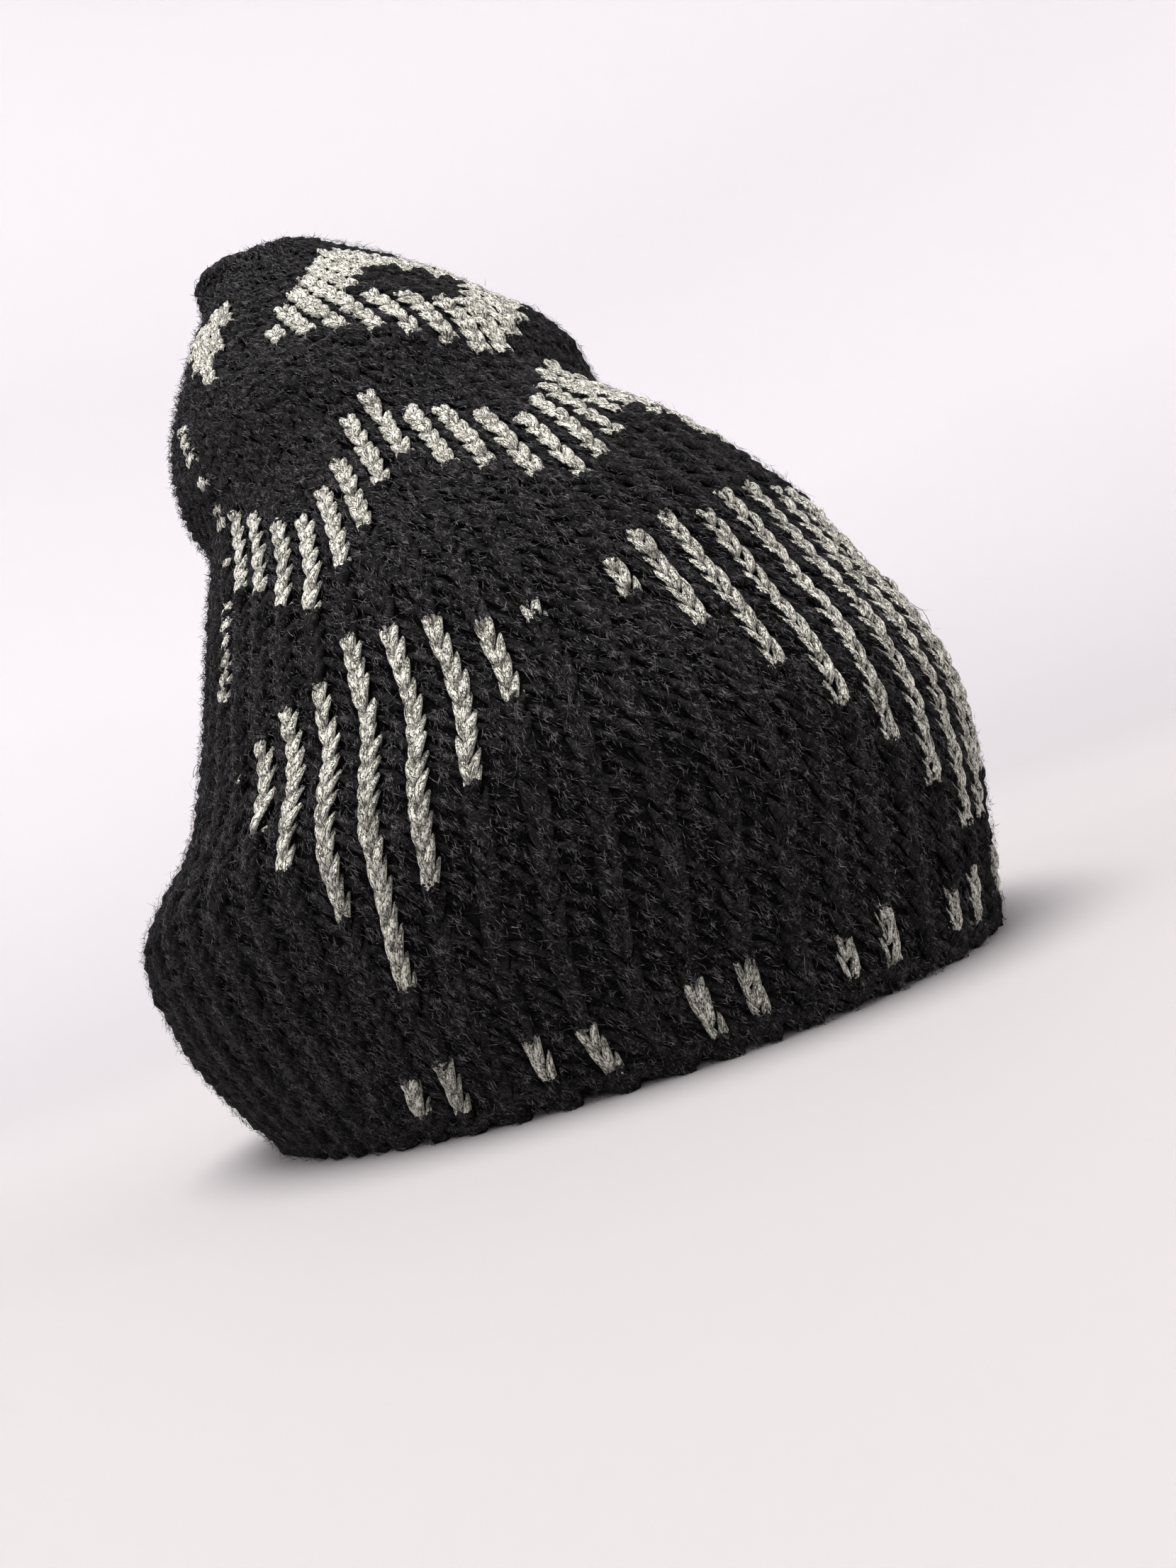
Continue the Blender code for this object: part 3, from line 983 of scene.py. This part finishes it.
GATHER_SEED, GATHER_SIDES = 61, 7
GATHER_STRANDS, GATHER_POINTS = RIB_COUNT // 2, 12
# The strands climb the wall over the last rows, then run inwards over the top
GATHER_ROWS, CLIMB_SHARE, INWARD_FROM, INWARD_REACH = 2.6, 0.35, 0.25, 0.93
GATHER_SEAT, GATHER_SWELL, GATHER_DIMPLE = 0.4 * MM, 1.5 * MM, 2.6 * MM
GATHER_THICK, GATHER_TAPER, GATHER_FLATNESS, GATHER_TWIST = 1.30 * MM, 0.85 * MM, 0.9, 0.05
# How uneven the strands are: turn in strands, lift, and thickness as a share
GATHER_UNEVEN = (0.15, 0.35 * MM, 0.1)
AXIS_ROWS = 25
TIES, TIE_POINTS, TIE_SPREAD = 4, 9, 0.9
TIE_REACH, TIE_LIFT, TIE_BOW, TIE_THICK = 3.4 * MM, 0.6 * MM, 1.3 * MM, 0.62 * MM
# How uneven the thread's turns are: angle in turns and reach
TIE_UNEVEN = (0.3, 0.5 * MM)


def build_gather():
    """Strands drawn together over the crown into a small dimple, and the thread that ties it."""
    local = np.random.default_rng(GATHER_SEED)
    turn_off, lift_off, thick_off = offsets(local, GATHER_UNEVEN, GATHER_STRANDS)
    angle_off, reach_off = offsets(local, TIE_UNEVEN, TIES)
    centre = wall.points[-1].mean(0)
    axis = unit(centre - wall.points[-AXIS_ROWS].mean(0))
    turn = (np.arange(GATHER_STRANDS)[:, None] + 0.5 + turn_off) / GATHER_STRANDS
    s = np.linspace(0.0, 1.0, GATHER_POINTS)[None, :]
    climb = np.clip(s / CLIMB_SHARE, 0.0, 1.0)
    inward = smooth_step((s - INWARD_FROM) / (1.0 - INWARD_FROM))
    rows = ROW_COUNT - GATHER_ROWS * (1 - climb)
    rim, normal = wall.at(turn + GATHER_TWIST * inward, rows, -GATHER_SEAT)
    lift = GATHER_SWELL * np.sin(math.pi * inward**0.8) - GATHER_DIMPLE * inward**3
    lift = lift + lift_off * np.sin(math.pi * inward)
    path = rim + (centre - rim) * (INWARD_REACH * inward)[..., None] + axis * lift[..., None]
    up = unit(normal * (1 - inward)[..., None] + axis * (0.2 + inward)[..., None])
    thick = (GATHER_THICK - GATHER_TAPER * inward) * (1 + thick_off)
    gathered = tubes(path, up, thick, thick * GATHER_FLATNESS, GATHER_SIDES)
    angle = (np.arange(TIES)[:, None] + angle_off) * TIE_SPREAD
    s = np.linspace(-1.0, 1.0, TIE_POINTS)[None, :]
    first = unit(np.cross(axis, [0.0, 1.0, 0.0]))
    second = np.cross(axis, first)
    across = first * np.cos(angle)[..., None] + second * np.sin(angle)[..., None]
    reach = TIE_REACH * s + reach_off
    path = centre + across * reach[..., None] + axis * (TIE_LIFT - TIE_BOW * s**2)[..., None]
    thick = np.full(path.shape[:2], TIE_THICK)
    tied = tubes(path, np.broadcast_to(axis, path.shape), thick, thick, GATHER_SIDES)
    return make_piece("Crown_Gather", join([gathered, tied]), YARN)


# Loose fibres


def fibres(base, direction, facing, bend, length, thickness, curved):
    """Tapered fibres: flat slivers that face outwards, or curved ones with a ring halfway."""
    side = unit(np.cross(direction, facing))
    reach = length[:, None]
    tip = (base + direction * reach + bend * reach)[:, None]
    if curved:
        other = np.cross(side, direction)
        angle = np.arange(3) / 3 * 2 * math.pi
        ring = side[:, None] * np.cos(angle)[:, None] + other[:, None] * np.sin(angle)[:, None]
        foot = base[:, None] + ring * (thickness / 2)[:, None, None]
        middle = (base + direction * reach * 0.5 + bend * reach * 0.25)[:, None]
        middle = middle + ring * (thickness * 0.4)[:, None, None]
        verts = np.concatenate([foot, middle, tip], 1)
        faces = [ring_walls(0, 3, 2), fan(6, np.array([3, 4, 5])), np.array([[2, 1, 0]])]
    else:
        middle = (base + direction * reach * 0.45 + bend * reach * 0.2)[:, None]
        edge = side[:, None] * (thickness / 2)[:, None, None]
        verts = np.concatenate([base[:, None], middle - edge, tip, middle + edge], 1)
        faces = [np.array([[0, 1, 2, 3]])]
    faces = repeated(faces, len(base), verts.shape[1])
    verts = verts.reshape(-1, 3)
    return verts, faces, verts[:, :2] * UV_SCALE


FOIL_BARE_WIDTH = 2.8 * MM
FUZZ_BARE_SHARE, HAIR_BARE_SHARE, LINT_BARE_SHARE = 0.92, 0.5, 0.2
# The mat of fibres gathers in tufts, two for each stitch, that lean to the left
TUFT_LENGTH = 2.3 * MM
TUFT_WIDTH = 1.15 * MM
TUFT_PITCH = 7.6 * MM
TUFT_LEAN = 0.50
TUFT_SMALLEST, TUFT_LARGEST = 0.45, 1.1
TUFT_PLACES = ((-0.5, 0.5), (0.0, 0.0), (0.5, 0.5))
ROW_HEIGHT = 4.7 * MM
BETWEEN_TUFTS = 0.10
# The mat's height over the ribs, how far it sinks between them and how far it rises in tufts
MAT_HEIGHT, MAT_SINK, MAT_SWELL = 0.25, 1.50, 0.35
MAT_SLOPE_WIDTH = 3.6 * MM


def tuft_density(rib, row, across):
    """How thick the mat is at places on the knit: 1 in the middle of a tuft, 0 in a pit."""
    pitch = local_pitch(rib, row)
    size = np.clip(pitch / TUFT_PITCH, TUFT_SMALLEST, TUFT_LARGEST)
    base = np.round(row)
    density = np.zeros(rib.shape)
    for rows_off in (-1, 0, 1):
        for shift, climb in TUFT_PLACES:
            x = across - shift * pitch
            y = (row - base - rows_off - climb) * ROW_HEIGHT
            along = y * np.cos(TUFT_LEAN) - x * np.sin(TUFT_LEAN)
            over = y * np.sin(TUFT_LEAN) + x * np.cos(TUFT_LEAN)
            here = np.exp(-((along / TUFT_LENGTH) ** 2 + (over / TUFT_WIDTH) ** 2) / size**2)
            density = np.maximum(density, here)
    return density


def fibre_bases(local, count, bare_share):
    """Random places in the tufts, thinned out on the foil."""
    rib = local.integers(0, RIB_COUNT, count)
    row = local.uniform(0.0, ROW_COUNT, count)
    across = local.uniform(-0.5, 0.5, count) * local_pitch(rib, row)
    printed = print_depth(rib, row[:, None])[:, 0] > 0.0
    printed &= np.abs(across) < FOIL_BARE_WIDTH
    keep = ~(printed & (local.random(count) < bare_share))
    # As many for each area everywhere
    keep &= local.random(count) < wall.girth(row) / wall.girths.max()
    patches = waves((rib + 0.5) / RIB_COUNT, row, *TUFT_WAVES)
    density = tuft_density(rib, row + patches, across)
    keep &= local.random(count) < BETWEEN_TUFTS + (1 - BETWEEN_TUFTS) * density
    rib, row, across, density = rib[keep], row[keep], across[keep], density[keep]
    turn = rib_turn(rib, row) + across / wall.girth(row)
    low = np.clip(np.abs(across) / MAT_SLOPE_WIDTH, 0, 1) ** 2
    return turn, row, (MAT_HEIGHT - MAT_SINK * low + MAT_SWELL * density) * MM


def tangents(turn, row):
    """Unit vectors along the rib and across it, towards growing turn."""
    up = wall.at(turn, row + 0.5)[0] - wall.at(turn, row - 0.5)[0]
    side = wall.at(turn + 0.002, row)[0] - wall.at(turn - 0.002, row)[0]
    return unit(up), unit(side)


# Lengths and thickness are in millimetres, and rise is how steeply the fibres leave the knit
Fuzz = namedtuple("Fuzz", "name seed count lengths thickness curved rise")
FUZZES = (
    Fuzz("Short_Fuzz_First", 71, 340000, (0.9, 2.8), 0.18, False, 0.08),
    Fuzz("Short_Fuzz_Second", 73, 340000, (0.9, 2.8), 0.18, False, 0.08),
    Fuzz("Long_Fuzz", 72, 22000, (1.8, 4.0), 0.10, True, 0.20),
)
LEAN_UNEVEN, RISE_UNEVEN, BEND_UNEVEN, BEND_DOWN = 0.40, 0.20, 0.34, 0.25
# How far along a fibre its place in the tuft lies, and how much its thickness varies
FIBRE_MIDDLE, FIBRE_THICKNESSES = 0.4, (0.7, 1.3)


def build_fuzz(fuzz):
    local = np.random.default_rng(fuzz.seed)
    turn, row, depth = fibre_bases(local, fuzz.count, FUZZ_BARE_SHARE)
    n = len(turn)
    base, normal = wall.at(turn, row, depth)
    up, side = tangents(turn, row)
    lean = local.normal(-TUFT_LEAN, LEAN_UNEVEN, (n, 1))
    sign = np.where(local.random((n, 1)) < 0.5, 1.0, -1.0)
    flat = unit(up * np.cos(lean) + side * np.sin(lean)) * sign
    rising = np.abs(local.normal(fuzz.rise, RISE_UNEVEN, (n, 1)))
    direction = unit(flat + normal * rising)
    bend = local.normal(0.0, BEND_UNEVEN, (n, 3)) - normal * BEND_DOWN
    length = local.uniform(*fuzz.lengths, n) * MM
    base = base - flat * (FIBRE_MIDDLE * length)[:, None]
    thick = local.uniform(*FIBRE_THICKNESSES, n) * fuzz.thickness * MM
    shape = fibres(base, direction, normal, bend, length, thick, fuzz.curved)
    return make_piece(fuzz.name, shape, FUZZ)


HAIR_SEED, HAIR_COUNT, HAIR_POINTS, HAIR_SIDES = 81, 300, 12, 3
HAIR_CURL, HAIR_WAVE, HAIR_WAVE_SPEED, HAIR_WAVE_STARTS = 2.4, 0.9, 7, 6
HAIR_ROW_HEIGHT, HAIR_ENDS = 4.5 * MM, (0.6, ROW_COUNT - 0.5)
HAIR_LIFT = 0.2
HAIR_LENGTHS, HAIR_HALF_WIDTHS, HAIR_ARCH = (5, 13), (0.05, 0.085), (0.2, 1.6)
LINT_COUNT, LINT_LENGTHS, LINT_WIDTHS, LINT_BEND = 150, (0.5, 2.4), (0.08, 0.16), 0.4
LINT_LIFT, LINT_RISE = 0.5 * MM, 0.2


def build_loose_pieces():
    """Long curly hairs lying over the knit, and pale lint."""
    local = np.random.default_rng(HAIR_SEED)
    turn, row, _ = fibre_bases(local, HAIR_COUNT, HAIR_BARE_SHARE)
    n = len(turn)
    s = np.linspace(0.0, 1.0, HAIR_POINTS)[None, :]
    heading = local.uniform(0, 2 * math.pi, (n, 1))
    curl = local.normal(0, HAIR_CURL, (n, 1)) * s
    start = local.uniform(0, HAIR_WAVE_STARTS, (n, 1))
    curl = curl + HAIR_WAVE * np.sin(s * HAIR_WAVE_SPEED + start)
    step = local.uniform(*HAIR_LENGTHS, (n, 1)) * MM / HAIR_POINTS
    angle = heading + curl
    rows = row[:, None] + np.cumsum(np.cos(angle) * step, 1) / HAIR_ROW_HEIGHT
    rows = np.clip(rows, *HAIR_ENDS)
    turns = turn[:, None] + np.cumsum(np.sin(angle) * step, 1) / wall.girth(rows)
    out = (HAIR_LIFT + np.sin(s * math.pi) * local.uniform(*HAIR_ARCH, (n, 1))) * MM
    centre, normal = wall.at(turns, rows, out)
    width = np.broadcast_to(local.uniform(*HAIR_HALF_WIDTHS, (n, 1)) * MM, rows.shape)
    hairs = make_piece("Stray_Hairs", tubes(centre, normal, width, width, HAIR_SIDES), FUZZ)
    turn, row, depth = fibre_bases(local, LINT_COUNT, LINT_BARE_SHARE)
    n = len(turn)
    base, normal = wall.at(turn, row, depth + LINT_LIFT)
    up, side = tangents(turn, row)
    angle = local.uniform(0, 2 * math.pi, (n, 1))
    direction = unit(up * np.cos(angle) + side * np.sin(angle) + normal * LINT_RISE)
    bend = local.normal(0, LINT_BEND, (n, 3))
    length = local.uniform(*LINT_LENGTHS, n) * MM
    thick = local.uniform(*LINT_WIDTHS, n) * MM
    shape = fibres(base, direction, normal, bend, length, thick, True)
    return [hairs, make_piece("Pale_Lint", shape, LINT)]


backing = build_backing()
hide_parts(NODE)
trim = build_legs() + [build_purl_bars(), build_brim_edge(), build_gather()]
trim += [build_fuzz(fuzz) for fuzz in FUZZES] + build_loose_pieces()


# Studio


FLOOR_INNER, FLOOR_RADIUS, CURVE_RADIUS, CURVE_START, WALL_TOP = 0.15, 0.9, 1.3, 0.06, 4.0
FLOOR_AROUND, FLOOR_RINGS, CURVE_RINGS = 96, 8, 22
# The floor under the hat is painted greyer and the wall behind it paler: painted shade near the
# hat and painted light up the wall
FLOOR_PAINTED_LIGHT_TONES = (
    (0.10, (0.345, 0.330, 0.331)),
    (0.50, (0.378, 0.364, 0.374)),
    (0.85, (0.475, 0.459, 0.477)),
)
FLOOR_PAINTED_LIGHT_REACH, FLOOR_UNEVEN = 0.4, (-0.03, 0.03)


def floor_material():
    material = Material("Studio_White")
    away = material.node("VectorMath", "Value", {0: material.place}, operation="LENGTH")
    cloudy = material.spread(material.noise(*FLOOR_CLOUDS), *FLOOR_UNEVEN)
    # Tone grows with distance from the middle: painted shade near the hat, painted light on the
    # far wall, plus random clouds
    tone = material.weighed((away, cloudy), (FLOOR_PAINTED_LIGHT_REACH, 1.0))
    colour = material.ramp(tone, FLOOR_PAINTED_LIGHT_TONES)
    material.feed(material.shader, {"Base Color": colour, "Roughness": 0.7})
    return material.data


def build_floor():
    """Round pale floor that curves up into a dish, so that no horizon shows."""
    curve = np.linspace(CURVE_START, math.pi / 2, CURVE_RINGS)
    edge = FLOOR_RADIUS + CURVE_RADIUS
    inner = np.linspace(FLOOR_INNER, FLOOR_RADIUS, FLOOR_RINGS)
    radius = np.concatenate([inner, FLOOR_RADIUS + CURVE_RADIUS * np.sin(curve), [edge]])
    height = np.concatenate([0 * inner, CURVE_RADIUS * (1 - np.cos(curve)), [WALL_TOP]])
    angle = np.arange(FLOOR_AROUND) / FLOOR_AROUND * 2 * math.pi
    x, y = (radius[:, None] * way for way in (np.cos(angle), np.sin(angle)))
    rings = np.stack([x, y, height[:, None] + 0 * x], -1)
    verts = np.concatenate([np.zeros((1, 3)), rings.reshape(-1, 3)])
    middle = fan(0, 1 + np.arange(FLOOR_AROUND))
    walls = ring_walls(1, FLOOR_AROUND, len(rings))[:, [0, 3, 2, 1]]
    floor = make_object("Studio_Floor", verts, [middle, walls], floor_material(), {})


Lamp = namedtuple("Lamp", "name place size power colour")
LAMPS = (
    Lamp("Top", (-0.5, 0.1, 3.2), 2.0, 177.0, (1.0, 0.99, 0.985)),
    Lamp("Low", (-1.5, -1.3, 0.55), 1.0, 23.0, (1.0, 0.99, 0.98)),
    Lamp("Side", (-1.7, 1.6, 1.7), 1.3, 30.0, (0.98, 0.98, 1.0)),
    Lamp("Front", (0.9, -2.1, 1.6), 1.2, 20.0, (1.0, 0.985, 0.97)),
)
LAMPS_AIM = (0.0, 0.0, 0.12)
WORLD_COLOUR, WORLD_STRENGTH = (0.93, 0.92, 0.95, 1), 0.24


def add_lamp(lamp):
    data = bpy.data.lights.new(lamp.name, "AREA")
    data.shape = "DISK"
    data.size = lamp.size
    data.energy = lamp.power
    data.color = lamp.colour
    obj = add_object(lamp.name, data)
    obj.location = lamp.place
    aim = Vector(LAMPS_AIM) - Vector(lamp.place)
    obj.rotation_euler = aim.to_track_quat("-Z", "Y").to_euler()


def build_world():
    world = bpy.data.worlds.new("Studio_World")
    world.use_nodes = True
    background = world.node_tree.nodes["Background"]
    background.inputs["Color"].default_value = WORLD_COLOUR
    background.inputs["Strength"].default_value = WORLD_STRENGTH
    bpy.context.scene.world = world


def build_camera():
    data = bpy.data.cameras.new("Camera")
    data.lens = CAMERA_LENS
    data.sensor_width = CAMERA_SENSOR
    data.clip_start = 0.01
    camera = add_object("Camera", data)
    camera.matrix_world = (
        Matrix.Translation(CAMERA_PLACE)
        @ Matrix.Rotation(math.radians(CAMERA_AZIMUTH), 4, "Z")
        @ Matrix.Rotation(math.radians(90 - CAMERA_ELEVATION), 4, "X")
        @ Matrix.Rotation(math.radians(CAMERA_ROLL), 4, "Z")
    )
    bpy.context.scene.camera = camera


build_floor()
for lamp in LAMPS:
    add_lamp(lamp)
build_world()
build_camera()
bpy.context.scene.view_settings.view_transform = "Standard"
